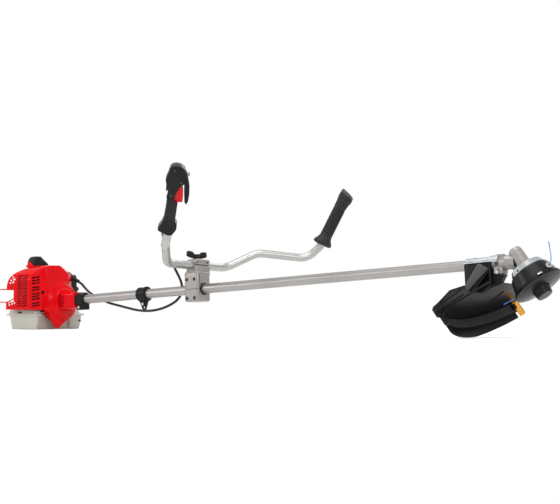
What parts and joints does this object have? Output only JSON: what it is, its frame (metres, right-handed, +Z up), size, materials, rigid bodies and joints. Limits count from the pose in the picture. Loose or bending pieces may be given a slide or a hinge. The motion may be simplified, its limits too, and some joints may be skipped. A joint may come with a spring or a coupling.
{
  "type": "string trimmer",
  "caption": "Petrol string trimmer: rear engine, straight tube, wide bar with two grips, angled gearbox, line head and curved guard",
  "frame": {"origin": "middle of the fuel tank's flat base, on the ground", "axes": "+X forward from the engine to the cutting head, +Y to the operator's left, +Z up; the tube rises 3.65 degrees towards the head"},
  "size_m": [1.7618, 0.7426, 0.4229],
  "materials": {
    "red_shell": "glossy moulded red",
    "dark_plastic": "fine satin black moulding",
    "tank_plastic": "translucent warm light grey moulding",
    "rubber_grip": "matt black moulded rubber",
    "end_cap": "dark grey moulding",
    "tube_metal": "satin drawn aluminium",
    "bar_metal": "silver white paint",
    "cast_metal": "bead blasted casting",
    "zinc_plate": "zinc plated sheet",
    "engine_casting": "raw casting",
    "steel": "ground steel",
    "dark_steel": "blackened steel",
    "bronze": "sintered bronze",
    "nylon_line": "clear blue nylon",
    "cutter_gold": "gold passivated steel",
    "red_trigger": "glossy red moulding",
    "switch_grey": "mid grey moulding",
    "primer_clear": "clear amber dome",
    "filter_foam": "oiled open foam",
    "cable_sheath": "extruded black sheath"
  },
  "bodies": {
    "frame": {"drive_tube": "tube_metal", "tube_bushes": "bronze", "fan_housing": "red_shell", "crankcase": "engine_casting", "ball_bearings": "steel", "cylinder": "engine_casting", "piston": "engine_casting", "spark_plug": "steel", "plug_cap": "dark_plastic", "muffler": "dark_steel", "engine_cover": "red_shell", "carburettor": "engine_casting", "air_filter_box": "dark_plastic", "air_filter_element": "filter_foam", "air_filter_cover": "dark_plastic", "fuel_tank": "tank_plastic", "ignition_coil": "dark_plastic", "starter_housing": "dark_plastic", "tube_collar": "dark_plastic", "clamp_screws": "steel", "harness_ring": "dark_plastic", "handle_bracket": "cast_metal", "bracket_cap": "cast_metal", "damper_ring": "rubber_grip", "handlebar": "bar_metal", "throttle_grip": "dark_plastic", "left_grip": "rubber_grip", "gearbox_housing": "cast_metal", "guard_clamp": "zinc_plate", "guard": "dark_plastic", "guard_skirt": "dark_plastic", "line_cutter": "cutter_gold", "throttle_cable": "cable_sheath"},
    "crank": {"crankshaft": "steel", "flywheel": "engine_casting", "clutch_shoes": "steel"},
    "con_rod": {"connecting_rod": "engine_casting"},
    "drive_line": {"clutch_drum": "steel", "drive_shaft": "steel", "bevel_pinion": "steel"},
    "output": {"output_gear_shaft": "steel", "blade_holder": "zinc_plate", "head_cover": "dark_plastic", "head_body": "dark_plastic", "line_eyelets": "steel", "line_a": "nylon_line", "line_b": "nylon_line", "bump_spring": "steel"},
    "bump": {"bump_knob": "dark_plastic", "line_spool": "dark_plastic"},
    "reel": {"starter_reel": "dark_plastic"},
    "pull": {"starter_handle": "dark_plastic"},
    "carb_lever": {"throttle_lever": "steel"},
    "choke": {"choke_lever": "dark_plastic"},
    "primer": {"primer_bulb": "primer_clear"},
    "tank_cap": {"fuel_cap": "dark_plastic"},
    "trigger": {"throttle_trigger": "red_trigger"},
    "lockout": {"lockout_lever": "dark_plastic"},
    "switch": {"stop_switch": "switch_grey"},
    "knob": {"wing_knob": "dark_plastic"}
  },
  "joints": [
    {"name": "crank_spin", "type": "hinge", "parent": "frame", "child": "crank", "pos_m": [0.02888, 0, 0.07819], "axis": [0.998, 0, 0.0637], "continuous": true},
    {"name": "rod_swing", "type": "hinge", "parent": "crank", "child": "con_rod", "pos_m": [0.00916, 0, 0.08895], "axis": [0.998, 0, 0.0637], "continuous": true},
    {"name": "drive_spin", "type": "hinge", "parent": "frame", "child": "drive_line", "pos_m": [0.08876, 0, 0.08201], "axis": [0.998, 0, 0.0637], "continuous": true},
    {"name": "output_spin", "type": "hinge", "parent": "frame", "child": "output", "pos_m": [1.58273, 0, 0.17731], "axis": [-0.6108, 0, 0.7918], "continuous": true},
    {"name": "bump_feed", "type": "slide", "parent": "output", "child": "bump", "axis": [-0.6108, 0, 0.7918], "range_m": [0, 0.005], "stiffness_N_per_m": 800, "springref_m": -0.003},
    {"name": "starter_pull", "type": "slide", "parent": "frame", "child": "pull", "axis": [0, 1, 0], "range_m": [0, 0.6], "stiffness_N_per_m": 15, "springref_m": -0.15},
    {"name": "reel_spin", "type": "hinge", "parent": "frame", "child": "reel", "pos_m": [-0.05295, 0, 0.07297], "axis": [-0.998, 0, -0.0637], "range_deg": [0, 1570]},
    {"name": "throttle_squeeze", "type": "hinge", "parent": "frame", "child": "trigger", "pos_m": [0.81918, -0.32094, 0.37025], "axis": [-0.5937, 0.7032, 0.3911], "range_deg": [0, 12], "stiffness_Nm_per_rad": 0.05, "springref_deg": -11.46},
    {"name": "throttle_valve", "type": "hinge", "parent": "frame", "child": "carb_lever", "pos_m": [0.00547, 0.062, 0.14684], "axis": [0.0637, 0, -0.998], "range_deg": [0, 62]},
    {"name": "lockout_press", "type": "hinge", "parent": "frame", "child": "lockout", "pos_m": [0.80224, -0.34526, 0.38825], "axis": [0.5937, -0.7032, -0.3911], "range_deg": [0, 8], "stiffness_Nm_per_rad": 0.03, "springref_deg": -11.46},
    {"name": "stop_slide", "type": "slide", "parent": "frame", "child": "switch", "axis": [0.3298, -0.2307, 0.9154], "range_m": [0, 0.004]},
    {"name": "wing_turn", "type": "hinge", "parent": "frame", "child": "knob", "pos_m": [0.58402, 0.00361, 0.20371], "axis": [-0.0636, 0.0401, 0.9972], "continuous": true},
    {"name": "choke_turn", "type": "hinge", "parent": "frame", "child": "choke", "pos_m": [-0.02229, 0.08, 0.09496], "axis": [0, 1, 0], "range_deg": [0, 60]},
    {"name": "primer_press", "type": "slide", "parent": "frame", "child": "primer", "axis": [-0.0637, 0, 0.998], "range_m": [0, 0.003], "stiffness_N_per_m": 150, "springref_m": -0.003},
    {"name": "tank_cap_turn", "type": "hinge", "parent": "frame", "child": "tank_cap", "pos_m": [-0.078, 0.062, 0.022], "axis": [1, 0, 0], "continuous": true}
  ],
  "couplings": [
    {"joint": "rod_swing", "follows": "crank_spin", "ratio": -1},
    {"joint": "output_spin", "follows": "drive_spin", "ratio": 0.73684},
    {"joint": "reel_spin", "follows": "starter_pull", "rad_per_m": 45.455},
    {"joint": "throttle_valve", "follows": "throttle_squeeze", "ratio": 5}
  ]
}
